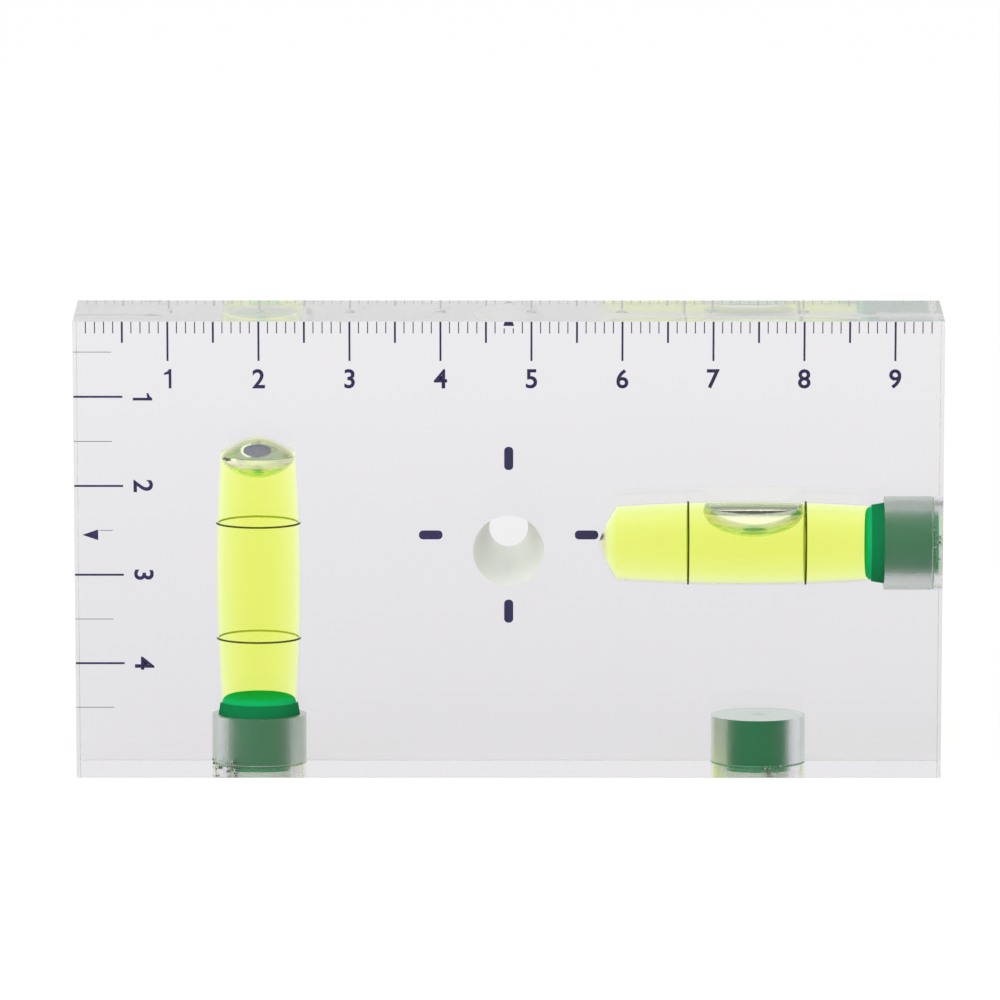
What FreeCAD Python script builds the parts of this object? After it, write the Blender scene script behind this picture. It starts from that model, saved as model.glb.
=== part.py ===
"""Clear block spirit level with two vials, a magnet and printed rulers. Millimetres.

The origin is the centre of the block's bottom face. X runs along the length, Y through the
thickness (the viewer's side is -Y) and Z up. Both vial cavities are bored straight into the
block, and everything in them is described along the bore, from its mouth inwards.
"""
import FreeCAD, Part
import math
import os

Vector = FreeCAD.Vector

# Block of cast acrylic
block_length = 95.0
block_thickness = 13.0
block_height = 51.0
edge_break = 0.2

# Conical sighting hole through the middle of the block, wide end at the viewer's side
sight_front_diameter = 7.8
sight_back_diameter = 4.3

# Vial cavity, the same form tool for both vials, in the order that it goes in from the mouth
counterbore_diameter = 10.4
counterbore_depth = 6.3
seat_mouth_diameter = 9.0
seat_length = 1.4
barrel_length = 27.3
crown_diameter = 9.5
crown_radius = 195.0
point_length = 2.2

# Axes of the two bores
level_axis_height = 25.5
plumb_from_left = 20.0

# Marking rings of black lacquer on the cavity's wall, one each side of the crown
ring_spacing = 12.9
ring_width = 0.33
ring_thickness = 0.1

# Stopper with a tapered nose, and the clear resin poured round and over the end of its head
stopper_head_clearance = 0.1
stopper_nose_length = 0.6
stopper_face_diameter = 7.4
vial_seal_depth = 0.85
vial_seal_cover = 0.3

# Air left in the vials: a bubble under the level vial's crown and the plumb vial's empty point
bubble_length = 11.2
bubble_height = 3.5
bubble_offset = -0.6
dry_wall_length = 0.7
meniscus_rise = 1.5

# Magnet, its cup and its bore in the bottom face
magnet_from_right = 20.0
magnet_bore_diameter = 10.4
magnet_bore_depth = 6.2
dimple_diameter = 2.0
dimple_depth = 0.6
cup_clearance = 0.05
magnet_diameter = 8.0
magnet_thickness = 3.0
magnet_edge_break = 0.2
magnet_seal_depth = 0.75
magnet_seal_cover = 0.3

# Ink printed on the back face
ink_thickness = 0.04
centimetre = 10.0
length_millimetre_tick = 2.8
length_half_tick = 3.86
length_whole_tick = 5.85
length_scale_margin = 1.0
height_half_tick = 3.9
height_whole_tick = 5.05
height_scale_margin = 6.0
fine_line = 0.17
bold_line = 0.31
arrow_edge_gap = 0.45
arrow_length = 1.75
arrow_width = 1.2
arrow_tick_gap = 0.15
dash_length = 2.6
dash_width = 1.0
dash_round = 0.45
dash_from_centre = 8.6

half_length = block_length / 2
back_face = block_thickness / 2
front_face = -block_thickness / 2
barrel_start = counterbore_depth + seat_length
crown_depth = barrel_start + barrel_length / 2
shoulder_depth = barrel_start + barrel_length
point_depth = shoulder_depth + point_length
nose_end = barrel_start + stopper_nose_length
plumb_x = plumb_from_left - half_length
magnet_x = half_length - magnet_from_right


def barrel_radius(depth):
    """Radius of the barrel-shaped cavity at a depth: widest under the crown."""
    drop = crown_radius - math.sqrt(crown_radius ** 2 - (depth - crown_depth) ** 2)
    return crown_diameter / 2 - drop


def point(radius, depth):
    """A point of a profile that is turned about the bore's axis."""
    return Vector(radius, 0, depth)


def line(start, end):
    return Part.LineSegment(start, end).toShape()


def arc(start, middle, end):
    return Part.Arc(start, middle, end).toShape()


def turned(edges):
    """Solid of revolution about the bore's axis from a closed profile."""
    face = Part.Face(Part.Wire(edges))
    return face.revolve(Vector(0, 0, 0), Vector(0, 0, 1), 360)


def barrel_edge(end_depth):
    """The cavity's bowed side from the seat to a depth, on the one arc of the form tool."""
    middle_depth = (barrel_start + end_depth) / 2
    return arc(
        point(barrel_radius(barrel_start), barrel_start),
        point(barrel_radius(middle_depth), middle_depth),
        point(barrel_radius(end_depth), end_depth),
    )


def seat_edge():
    """The short cone behind the counterbore that the stopper is pressed into."""
    return line(
        point(seat_mouth_diameter / 2, counterbore_depth),
        point(barrel_radius(barrel_start), barrel_start),
    )


def nose_edge():
    """The tapered rim of the stopper's nose, from the end of the seat to its flat front."""
    return line(
        point(barrel_radius(barrel_start), barrel_start),
        point(stopper_face_diameter / 2, nose_end),
    )


def cavity():
    """Everything the drill and the form tool take out of the block for one vial."""
    mouth = counterbore_diameter / 2
    shoulder = barrel_radius(shoulder_depth)
    return turned([
        line(point(0, 0), point(mouth, 0)),
        line(point(mouth, 0), point(mouth, counterbore_depth)),
        line(point(mouth, counterbore_depth), point(seat_mouth_diameter / 2, counterbore_depth)),
        seat_edge(),
        barrel_edge(shoulder_depth),
        line(point(shoulder, shoulder_depth), point(0, point_depth)),
        line(point(0, point_depth), point(0, 0)),
    ])


def ring_band(side):
    """Washer as wide as a ring that reaches from its inner face to past the cavity's wall."""
    middle = crown_depth + side * ring_spacing / 2
    base = point(0, middle - ring_width / 2)
    past_wall = Part.makeCylinder(crown_diameter / 2 + ring_thickness, ring_width, base)
    inside = Part.makeCylinder(barrel_radius(middle) - ring_thickness, ring_width, base)
    return past_wall.cut(inside)


def marking_ring(side):
    """One band of lacquer on the wall. side is -1 towards the mouth and +1 inwards."""
    return ring_band(side).common(cavity())


def stopper():
    """Plug with a head in the counterbore and a nose that seats in the cone behind it."""
    head = counterbore_diameter / 2 - stopper_head_clearance
    end = head - (vial_seal_depth - vial_seal_cover)
    return turned([
        line(point(0, vial_seal_cover), point(end, vial_seal_cover)),
        line(point(end, vial_seal_cover), point(head, vial_seal_depth)),
        line(point(head, vial_seal_depth), point(head, counterbore_depth)),
        line(point(head, counterbore_depth), point(seat_mouth_diameter / 2, counterbore_depth)),
        seat_edge(),
        nose_edge(),
        line(point(stopper_face_diameter / 2, nose_end), point(0, nose_end)),
        line(point(0, nose_end), point(0, vial_seal_cover)),
    ])


def vial_seal():
    """Clear resin that covers the stopper's end and fills the mouth flush with the block."""
    poured = Part.makeCylinder(counterbore_diameter / 2, vial_seal_depth)
    return poured.cut(stopper())


def liquid(closing_edge, end_depth):
    """Liquid between the stopper's nose and closing_edge, which runs back to the axis."""
    body = turned([
        line(point(0, nose_end), point(stopper_face_diameter / 2, nose_end)),
        nose_edge(),
        barrel_edge(end_depth),
        closing_edge,
        line(closing_edge.lastVertex(True).Point, point(0, nose_end)),
    ])
    return body.cut([ring_band(-1), ring_band(1)])


def level_bubble():
    """Air bubble: a ball that the cavity's top cuts to the bubble's length and height."""
    radius = ((bubble_length / 2) ** 2 + bubble_height ** 2) / (2 * bubble_height)
    centre_radius = crown_diameter / 2 - bubble_height + radius
    return Part.makeSphere(radius, point(centre_radius, crown_depth + bubble_offset))


def level_liquid():
    """Liquid that fills the cavity to its point, less the bubble under the crown."""
    shoulder = point(barrel_radius(shoulder_depth), shoulder_depth)
    return liquid(line(shoulder, point(0, point_depth)), shoulder_depth).cut(level_bubble())


def plumb_liquid():
    """Liquid that ends short of the point in a hollow ball's surface, drawn up along the wall."""
    rim_depth = shoulder_depth - dry_wall_length
    low_depth = rim_depth - meniscus_rise
    rim = barrel_radius(rim_depth)
    ball = (rim ** 2 + meniscus_rise ** 2) / (2 * meniscus_rise)
    half_way = rim / 2
    half_depth = low_depth + ball - math.sqrt(ball ** 2 - half_way ** 2)
    surface = arc(point(rim, rim_depth), point(half_way, half_depth), point(0, low_depth))
    return liquid(surface, rim_depth)


def magnet_bore():
    """Flat-bottomed bore with the dimple that the drill's centre leaves."""
    bore = Part.makeCylinder(magnet_bore_diameter / 2, magnet_bore_depth)
    dimple = Part.makeCone(dimple_diameter / 2, 0, dimple_depth, Vector(0, 0, magnet_bore_depth))
    return bore.fuse(dimple)


def magnet():
    """Plated disc magnet with broken edges, level with the cup's rim."""
    disc = Part.makeCylinder(
        magnet_diameter / 2, magnet_thickness, Vector(0, 0, magnet_seal_cover)
    )
    return disc.makeChamfer(magnet_edge_break, [e for e in disc.Edges if e.isClosed()])


def magnet_cup():
    """Plastic cup, closed at the bore's floor, that holds the magnet at its open end."""
    side = magnet_bore_diameter / 2 - cup_clearance
    rim = side - (magnet_seal_depth - magnet_seal_cover)
    pocket = magnet_diameter / 2
    pocket_depth = magnet_seal_cover + magnet_thickness
    return turned([
        line(point(0, magnet_bore_depth), point(side, magnet_bore_depth)),
        line(point(side, magnet_bore_depth), point(side, magnet_seal_depth)),
        line(point(side, magnet_seal_depth), point(rim, magnet_seal_cover)),
        line(point(rim, magnet_seal_cover), point(pocket, magnet_seal_cover)),
        line(point(pocket, magnet_seal_cover), point(pocket, pocket_depth)),
        line(point(pocket, pocket_depth), point(0, pocket_depth)),
        line(point(0, pocket_depth), point(0, magnet_bore_depth)),
    ])


def magnet_seal():
    """Clear resin over the magnet and its cup's rim, flush with the bottom face."""
    poured = Part.makeCylinder(magnet_bore_diameter / 2, magnet_seal_depth)
    return poured.cut([magnet_cup(), magnet()])


def in_level_bore(shape):
    """Puts a shape of the bore's own frame into the level vial: mouth right, its +X upwards."""
    placed = shape.copy()
    placed.rotate(Vector(0, 0, 0), Vector(0, 1, 0), -90)
    placed.translate(Vector(half_length, 0, level_axis_height))
    return placed


def in_plumb_bore(shape):
    """Puts a shape of the bore's own frame into the plumb vial: mouth down."""
    placed = shape.copy()
    placed.translate(Vector(plumb_x, 0, 0))
    return placed


def in_magnet_bore(shape):
    placed = shape.copy()
    placed.translate(Vector(magnet_x, 0, 0))
    return placed


def block():
    """Machined block: outline with broken edges, sighting hole, two vial cavities, magnet bore."""
    body = Part.makeBox(
        block_length, block_thickness, block_height, Vector(-half_length, front_face, 0)
    )
    body = body.makeChamfer(edge_break, body.Edges)
    sight_hole = Part.makeCone(
        sight_front_diameter / 2,
        sight_back_diameter / 2,
        block_thickness,
        Vector(0, front_face, block_height / 2),
        Vector(0, 1, 0),
    )
    return body.cut([
        sight_hole,
        in_level_bore(cavity()),
        in_plumb_bore(cavity()),
        in_magnet_bore(magnet_bore()),
    ])


def ink(low_x, low_z, width, height):
    """A printed bar on the back face."""
    return Part.makeBox(width, ink_thickness, height, Vector(low_x, back_face, low_z))


def length_tick(distance, length, width, start):
    """A tick down from the top edge, at a distance from the left end."""
    low_z = block_height - start - length
    return ink(distance - half_length - width / 2, low_z, width, length)


def length_scale():
    """Ruler along the top edge, zero at the left end: a tick for each millimetre."""
    ticks = []
    below_arrow = arrow_edge_gap + arrow_length + arrow_tick_gap
    last_tick = int(block_length - length_scale_margin)
    for distance in range(1, last_tick + 1):
        length, width = length_millimetre_tick, fine_line
        if distance % centimetre == 0:
            length, width = length_whole_tick, bold_line
        elif distance % (centimetre / 2) == 0:
            length, width = length_half_tick, bold_line
        start = edge_break
        if abs(distance - half_length) < arrow_width / 2 + width:
            start = below_arrow
        ticks.append(length_tick(distance, length - start, width, start))
    return Part.Compound(ticks)


def height_scale():
    """Ruler down the left edge, zero at the top: long ticks each centimetre, fine ones between."""
    ticks = []
    half = centimetre / 2
    beside_arrow = arrow_edge_gap + arrow_length + arrow_tick_gap
    last_step = int((block_height - height_scale_margin) / half)
    for step in range(1, last_step + 1):
        depth = step * half
        length, width = height_half_tick, fine_line
        if step % 2 == 0:
            length, width = height_whole_tick, bold_line
        start = edge_break
        if abs(depth - (block_height - level_axis_height)) < arrow_width / 2 + width / 2:
            start = beside_arrow
        low_z = block_height - depth - width / 2
        ticks.append(ink(start - half_length, low_z, length - start, width))
    return Part.Compound(ticks)


def arrow(tip, along, across):
    """Printed triangle: tip on an edge's side, along pointing from the tip to the base."""
    base = tip + along * arrow_length
    corners = [tip, base + across * (arrow_width / 2), base - across * (arrow_width / 2), tip]
    return Part.Face(Part.makePolygon(corners)).extrude(Vector(0, ink_thickness, 0))


def edge_arrows():
    """The two arrows that point out the sighting hole's axes at the left and top edges."""
    left_tip = Vector(arrow_edge_gap - half_length, back_face, level_axis_height)
    top_tip = Vector(0, back_face, block_height - arrow_edge_gap)
    return Part.Compound([
        arrow(left_tip, Vector(1, 0, 0), Vector(0, 0, 1)),
        arrow(top_tip, Vector(0, 0, -1), Vector(1, 0, 0)),
    ])


def centre_dashes():
    """Four round-ended dashes that point at the sighting hole from each side."""
    dash = Part.makeBox(dash_length, ink_thickness, dash_width)
    dash.translate(Vector(-dash_length / 2, back_face, -dash_width / 2))
    corners = [e for e in dash.Edges if abs(e.tangentAt(e.FirstParameter).y) > 0.5]
    dash = dash.makeFillet(dash_round, corners)
    dashes = []
    for quarter in range(4):
        placed = dash.copy()
        placed.translate(Vector(dash_from_centre, 0, 0))
        placed.rotate(Vector(0, 0, 0), Vector(0, 1, 0), quarter * 90)
        placed.translate(Vector(0, 0, block_height / 2))
        dashes.append(placed)
    return Part.Compound(dashes)


nodes = {
    "block": block(),
    "level_liquid": in_level_bore(level_liquid()),
    "plumb_liquid": in_plumb_bore(plumb_liquid()),
    "level_ring_outer": in_level_bore(marking_ring(-1)),
    "level_ring_inner": in_level_bore(marking_ring(1)),
    "plumb_ring_lower": in_plumb_bore(marking_ring(-1)),
    "plumb_ring_upper": in_plumb_bore(marking_ring(1)),
    "level_stopper": in_level_bore(stopper()),
    "plumb_stopper": in_plumb_bore(stopper()),
    "level_seal": in_level_bore(vial_seal()),
    "plumb_seal": in_plumb_bore(vial_seal()),
    "magnet": in_magnet_bore(magnet()),
    "magnet_cup": in_magnet_bore(magnet_cup()),
    "magnet_seal": in_magnet_bore(magnet_seal()),
    "length_scale_ticks": length_scale(),
    "height_scale_ticks": height_scale(),
    "edge_arrows": edge_arrows(),
    "centre_dashes": centre_dashes(),
}

os.makedirs("parts", exist_ok=True)
for name, shape in nodes.items():
    shape.exportStep("parts/" + name + ".step")
    print(name, "solids", len(shape.Solids), "volume", round(shape.Volume, 3), shape.isValid())
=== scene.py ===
"""A clear acrylic block level with two lime vials, a magnet and printed rulers. In metres."""

import math

import bmesh
import bpy
from mathutils import Matrix, Vector


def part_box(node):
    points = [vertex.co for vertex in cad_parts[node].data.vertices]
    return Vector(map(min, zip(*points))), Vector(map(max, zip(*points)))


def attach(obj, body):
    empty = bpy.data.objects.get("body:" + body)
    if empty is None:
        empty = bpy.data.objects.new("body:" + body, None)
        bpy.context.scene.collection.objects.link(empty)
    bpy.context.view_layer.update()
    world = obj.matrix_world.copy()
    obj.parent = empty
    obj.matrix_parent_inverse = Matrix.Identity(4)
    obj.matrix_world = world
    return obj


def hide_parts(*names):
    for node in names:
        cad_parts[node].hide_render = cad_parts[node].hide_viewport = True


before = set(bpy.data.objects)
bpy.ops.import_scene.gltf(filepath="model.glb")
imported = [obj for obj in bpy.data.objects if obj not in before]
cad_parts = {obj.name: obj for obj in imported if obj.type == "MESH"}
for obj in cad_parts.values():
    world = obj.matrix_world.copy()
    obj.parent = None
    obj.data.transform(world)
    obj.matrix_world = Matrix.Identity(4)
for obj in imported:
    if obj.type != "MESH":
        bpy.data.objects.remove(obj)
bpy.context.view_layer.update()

# The bores of the acrylic block
# One form tool cuts both vial cavities: a counterbore for the stopper's head, a short seat, the
# bowed barrel that makes the bubble find its middle, and a drill point. Profiles run along the
# bore from its mouth, as pairs of radius and depth.

mm = 0.001
block_low, block_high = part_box("block")
half_length = block_high.x
front_face = block_low.y
back_face = block_high.y
top_face = block_high.z

seal_low, seal_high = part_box("level_seal")
level_axis_height = (seal_low.z + seal_high.z) / 2
bore_radius = (seal_high.z - seal_low.z) / 2
plumb_axis_x = sum((corner.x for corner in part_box("plumb_seal")), 0.0) / 2
magnet_axis_x = sum((corner.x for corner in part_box("magnet_seal")), 0.0) / 2

counterbore_depth = 6.3 * mm
seat_mouth_radius = 4.5 * mm
barrel_start = 7.7 * mm
barrel_length = 27.9 * mm
crown_offset = 13.65 * mm
crown_radius = 4.75 * mm
bow_radius = 195 * mm
crown_depth = barrel_start + crown_offset
shoulder_depth = barrel_start + barrel_length
point_extra = 0.35 * mm
point_depth = half_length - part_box("level_liquid")[0].x + point_extra
point_curve = 1.4
overshoot = 0.5 * mm
barrel_steps = 44
bore_sides = 224
crease = math.radians(14)


def barrel_radius(depth):
    """The barrel's radius at a depth: widest under its crown."""
    return crown_radius - bow_radius + math.sqrt(bow_radius**2 - (depth - crown_depth) ** 2)


def barrel_points(start, end, gap=0.0, steps=barrel_steps):
    """The bowed side between two depths, a gap inside the wall."""
    depths = [start + (end - start) * step / steps for step in range(steps + 1)]
    return [(barrel_radius(depth) - gap, depth) for depth in depths]


def tip_depth(share):
    """How deep the drill point is at a share of its radius: its lip and its tip are rounded."""
    return shoulder_depth + (point_depth - shoulder_depth) * (1 - share**point_curve)


def tip_points(gap=0.0, steps=16):
    """The drill point from the shoulder to its tip, a gap inside the wall."""
    wide = barrel_radius(shoulder_depth) - gap
    shares = [1 - step / steps for step in range(1, steps + 1)]
    return [(wide * share, tip_depth(share) - gap) for share in shares]


class Socket:
    """A node's output that can stand in a formula: each operator adds its own Math node."""

    def __init__(self, tree, socket):
        self.tree = tree
        self.socket = socket

    def out(self, name):
        """Another output of the same node."""
        return Socket(self.tree, self.socket.node.outputs[name])

    def parts(self):
        """The X of a vector, from a node that gives its Y and Z too."""
        return add_node(self.tree, "ShaderNodeSeparateXYZ", {"Vector": self})

    def math(self, operation, *values):
        return add_node(
            self.tree, "ShaderNodeMath", dict(enumerate(values)), {"operation": operation}
        )

    def __add__(self, other):
        return self.math("ADD", self, other)

    __radd__ = __add__

    def __sub__(self, other):
        return self.math("SUBTRACT", self, other)

    def __rsub__(self, other):
        return self.math("SUBTRACT", other, self)

    def __mul__(self, other):
        return self.math("MULTIPLY", self, other)

    __rmul__ = __mul__

    def __truediv__(self, other):
        return self.math("DIVIDE", self, other)

    def __mod__(self, other):
        return self.math("FLOORED_MODULO", self, other)

    def __lt__(self, other):
        return self.math("LESS_THAN", self, other)

    def __gt__(self, other):
        return self.math("GREATER_THAN", self, other)

    def __abs__(self):
        return self.math("ABSOLUTE", self)

    def cosine(self):
        return self.math("COSINE", self)

    def sine(self):
        return self.math("SINE", self)

    def floor(self):
        return self.math("FLOOR", self)

    def most(self, other):
        """The larger of the two."""
        return self.math("MAXIMUM", self, other)


def add_node(tree, kind, sockets=None, settings=None, output=None):
    """Adds a node: its settings first, then the value or the link of each socket."""
    node = tree.nodes.new(kind)
    for name, value in (settings or {}).items():
        setattr(node, name, value)
    for key, value in (sockets or {}).items():
        if isinstance(key, int):
            socket = node.inputs[key]
        else:
            socket = next(s for s in node.inputs if s.enabled and s.name == key)
        if isinstance(value, Socket):
            tree.links.new(value.socket, socket)
        else:
            socket.default_value = value
    found = next((s for s in node.outputs if s.enabled and output in (None, s.name)), None)
    return Socket(tree, found)


def geometry_tree(name, **inputs):
    """A Geometry Nodes tree, its inputs listed by kind. Returns it with its inputs as sockets."""
    tree = bpy.data.node_groups.new(name, "GeometryNodeTree")
    tree.interface.new_socket("Geometry", in_out="OUTPUT", socket_type="NodeSocketGeometry")
    labels = []
    for kind, group in {"Geometry": ["Geometry"], **inputs, "Material": ["Material"]}.items():
        for label in group:
            tree.interface.new_socket(label, in_out="INPUT", socket_type="NodeSocket" + kind)
            labels.append(label)
    entry = add_node(tree, "NodeGroupInput")
    return tree, {label: entry.out(label) for label in labels}


def finish_tree(geometry, material):
    """Ends a tree with real geometry in one material."""
    tree = geometry.tree
    real = add_node(tree, "GeometryNodeRealizeInstances", {"Geometry": geometry})
    done = add_node(tree, "GeometryNodeSetMaterial", {"Geometry": real, "Material": material})
    add_node(tree, "NodeGroupOutput", {"Geometry": done})


def placed(name, data):
    """A new object in the scene."""
    piece = bpy.data.objects.new(name, data)
    bpy.context.scene.collection.objects.link(piece)
    return piece


def grown(name, tree, values, mesh=None):
    """A plain mesh made by a Geometry Nodes tree, on an object at the origin."""
    seed = placed(name, mesh or bpy.data.meshes.new(name))
    modifier = seed.modifiers.new("grown", "NODES")
    modifier.node_group = tree
    for item in tree.interface.items_tree:
        if item.in_out == "INPUT" and item.name in values:
            modifier[item.identifier] = values[item.name]
    evaluated = seed.evaluated_get(bpy.context.evaluated_depsgraph_get())
    result = bpy.data.meshes.new_from_object(evaluated)
    seed.modifiers.clear()
    seed.data = result
    result.name = name
    return seed


def xyz(tree, **parts):
    """A vector from its parts."""
    return add_node(tree, "ShaderNodeCombineXYZ", parts)


def moved(geometry, **place):
    """Points at a new Position, or at an Offset from where they are."""
    return add_node(geometry.tree, "GeometryNodeSetPosition", {"Geometry": geometry, **place})


weld_distance = 1e-7


def welded(geometry):
    values = {"Geometry": geometry, "Distance": weld_distance}
    return add_node(geometry.tree, "GeometryNodeMergeByDistance", values)


lathe, lathe_in = geometry_tree("turned piece", Int=["Sides", "Points"])


def build_lathe():
    """Turns the profile that comes in as a row of points: x is the radius, z the depth."""
    sides, points = lathe_in["Sides"], lathe_in["Points"]
    grid = add_node(lathe, "GeometryNodeMeshGrid", {"Vertices X": sides + 1, "Vertices Y": points})
    index = add_node(lathe, "GeometryNodeInputIndex")
    radius = add_node(
        lathe,
        "GeometryNodeSampleIndex",
        {
            "Geometry": lathe_in["Geometry"],
            "Value": add_node(lathe, "GeometryNodeInputPosition"),
            "Index": index % points,
        },
        {"data_type": "FLOAT_VECTOR"},
    ).parts()
    turn = (index / points).floor() / sides * math.tau
    spot = xyz(lathe, X=radius * turn.cosine(), Y=radius * turn.sine(), Z=radius.out("Z"))
    zone = add_node(
        lathe,
        "GeometryNodeStoreNamedAttribute",
        {"Geometry": moved(grid, Position=spot), "Name": "zone", "Value": index % (points - 1)},
        {"data_type": "INT", "domain": "FACE"},
    )
    finish_tree(welded(zone), lathe_in["Material"])


build_lathe()


def turned(name, profile, place, slots, zones=None, sides=bore_sides):
    """A turned piece in the frame of its bore. zones gives each step of the profile its slot."""
    row = bpy.data.meshes.new(name)
    edges = [(i, i + 1) for i in range(len(profile) - 1)]
    row.from_pydata([(radius, 0, depth) for radius, depth in profile], edges, [])
    piece = grown(name, lathe, {"Sides": sides, "Points": len(profile)}, row)
    mesh = piece.data
    mesh.materials.clear()
    for material in slots:
        mesh.materials.append(material)
    if zones:
        steps = [0] * len(mesh.polygons)
        mesh.attributes["zone"].data.foreach_get("value", steps)
        mesh.polygons.foreach_set("material_index", [zones[step] for step in steps])
    mesh.attributes.remove(mesh.attributes["zone"])
    mesh.transform(place)
    shape = bmesh.new()
    shape.from_mesh(mesh)
    bmesh.ops.recalc_face_normals(shape, faces=shape.faces)
    shape.to_mesh(mesh)
    shape.free()
    mesh.shade_smooth()
    mesh.set_sharp_from_angle(angle=crease)
    return piece


in_level_bore = Matrix(
    ((0, 0, -1, half_length), (0, 1, 0, 0), (1, 0, 0, level_axis_height), (0, 0, 0, 1))
)
in_plumb_bore = Matrix.Translation((plumb_axis_x, 0, 0))
in_magnet_bore = Matrix.Translation((magnet_axis_x, 0, 0))
vials = {"level": in_level_bore, "plumb": in_plumb_bore}

# The acrylic block
# One piece of cast acrylic: polished large faces, a milled top and just broken edges. The drill
# leaves the counterbores and the sighting hole frosted; the barrels are clear. Each wall bends
# light by the ratio of the acrylic to what it touches.

acrylic_ior = 1.49
liquid_ior = 1.43
cloud_scale = 90


def new_material(name):
    material = bpy.data.materials.new(name)
    material.use_nodes = True
    material.node_tree.nodes.clear()
    return material, material.node_tree


def lets_light_by(surface, tint, **volume):
    """Ends a clear material: lamps reach through it, and it is real glass to every other ray."""
    tree = surface.tree
    path = add_node(tree, "ShaderNodeLightPath")
    beam = path.out("Is Shadow Ray").most(path.out("Is Diffuse Ray"))
    clear = add_node(tree, "ShaderNodeBsdfTransparent", {"Color": (*tint, 1)})
    mixed = add_node(tree, "ShaderNodeMixShader", {0: beam, 1: surface, 2: clear})
    add_node(tree, "ShaderNodeOutputMaterial", {"Surface": mixed, **volume})


def object_place(tree):
    return add_node(tree, "ShaderNodeTexCoord").out("Object")


def speckle(tree, scale):
    """Noise from 0 to 1, with a scale in cycles per metre."""
    values = {"Vector": object_place(tree), "Scale": scale, "Detail": 3.0, "Roughness": 0.5}
    return add_node(tree, "ShaderNodeTexNoise", values)


def bumped(height, depth):
    """A normal from a height of 0 to 1, this many metres deep."""
    values = {"Strength": 1.0, "Distance": depth, "Height": height}
    return add_node(height.tree, "ShaderNodeBump", values)


def tinted(factor, low, high):
    """A colour between two, by a factor of 0 to 1."""
    values = {"Factor": factor, "A": (*low, 1), "B": (*high, 1)}
    return add_node(factor.tree, "ShaderNodeMix", values, {"data_type": "RGBA"})


def clear_wall(name, ior, tint, rough, grain, depth=0.0, spread=0.02, clear=1.0):
    """A clear surface: a faint cloud in its tint, and its grain in roughness and bump."""
    material, tree = new_material(name)
    noise = speckle(tree, grain)
    paler = tuple(min(1.0, channel * (1 + spread)) for channel in tint)
    values = {
        "Base Color": tinted(speckle(tree, cloud_scale), tint, paler),
        "Roughness": noise * (rough * 0.6) + rough * 0.7,
        "IOR": ior,
        "Transmission Weight": clear,
    }
    if depth:
        values["Normal"] = bumped(noise, depth)
    lets_light_by(add_node(tree, "ShaderNodeBsdfPrincipled", values), tint)
    return material


def bored(name, tint, rough, grain, depth, clear):
    """A face of the acrylic that a tool left less than clear."""
    return clear_wall("acrylic " + name, acrylic_ior, tint, rough, grain, depth, clear=clear)


block_slots = [
    clear_wall("acrylic polished", acrylic_ior, (0.92, 0.905, 0.93), 0.0, 300),
    clear_wall("acrylic against liquid", acrylic_ior / liquid_ior, (1, 1, 1), 0.1, 4000, 0.3e-6),
    clear_wall("acrylic against stopper", 1.0, (0.97, 1, 0.98), 0.0, 300),
    # Painted light and shade: the frosted counterbore's green tint stands in for the stopper's
    # green scattered in the frost, and the magnet bore's teal tint darkens the cup behind it as
    # painted shade.
    bored("bored frosted", (0.285, 0.53, 0.38), 0.45, 4000, 2e-6, 0.9),
    bored("bored smooth", (0.135, 0.57, 0.45), 0.36, 5000, 1e-6, 0.985),
    bored("hole wall", (0.76, 0.78, 0.73), 0.5, 3000, 4e-6, 0.35),
    bored("reamed mouth", (0.75, 0.82, 0.75), 0.25, 4000, 1e-6, 0.95),
    bored("scraped edge", (0.80, 0.80, 0.81), 0.35, 3000, 2e-6, 0.9),
    clear_wall("acrylic drilled tip", 1.02, (0.97, 0.98, 0.96), 0.35, 4000, 0.5e-6),
    bored("milled face", (0.53, 0.53, 0.54), 0.05, 2500, 0.8e-6, 0.62),
    # Painted shade: the lip's dark green is a shadow line painted at the foot of the resin seal.
    bored("resin lip in painted shade", (0.08, 0.22, 0.14), 0.3, 4000, 1e-6, 0.5),
]
OUTSIDE, WET, SEAT, FROSTED, MAGNET, HOLE, MOUTH, EDGE, TIP, MILLED, LIP_SHADE = range(len(block_slots))

seal_depth = 0.85 * mm
mouth_lip = 0.08 * mm
bore_mouth = [
    ((0, -overshoot), None),
    ((bore_radius, -overshoot), MOUTH),
    ((bore_radius, seal_depth), MOUTH),
    # The lip takes the painted shadow line.
    ((bore_radius - mouth_lip, seal_depth + 2 * mouth_lip), LIP_SHADE),
    ((bore_radius, seal_depth + 3 * mouth_lip), MOUTH),
]

wall_steps = 14
ring_width = 0.21 * mm
ring_depths = [
    half_length - sum((corner.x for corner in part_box("level_ring_" + side)), 0.0) / 2
    for side in ("outer", "inner")
]


def cavity_steps():
    """The vial cavity from outside its mouth to its point, and the slot of each step."""
    steps = [
        *bore_mouth,
        ((bore_radius, counterbore_depth), FROSTED),
        ((seat_mouth_radius, counterbore_depth), FROSTED),
        ((barrel_radius(barrel_start), barrel_start), SEAT),
    ]
    start = barrel_start
    for ring_depth in ring_depths:
        ends = ring_depth - ring_width / 2, ring_depth + ring_width / 2
        steps += [(spot, WET) for spot in barrel_points(start, ends[0], steps=wall_steps)[1:]]
        steps.append(((barrel_radius(ends[1]), ends[1]), SEAT))
        start = ends[1]
    steps += [(spot, WET) for spot in barrel_points(start, shoulder_depth, steps=wall_steps)[1:]]
    return steps + [(spot, TIP) for spot in tip_points()]


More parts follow.
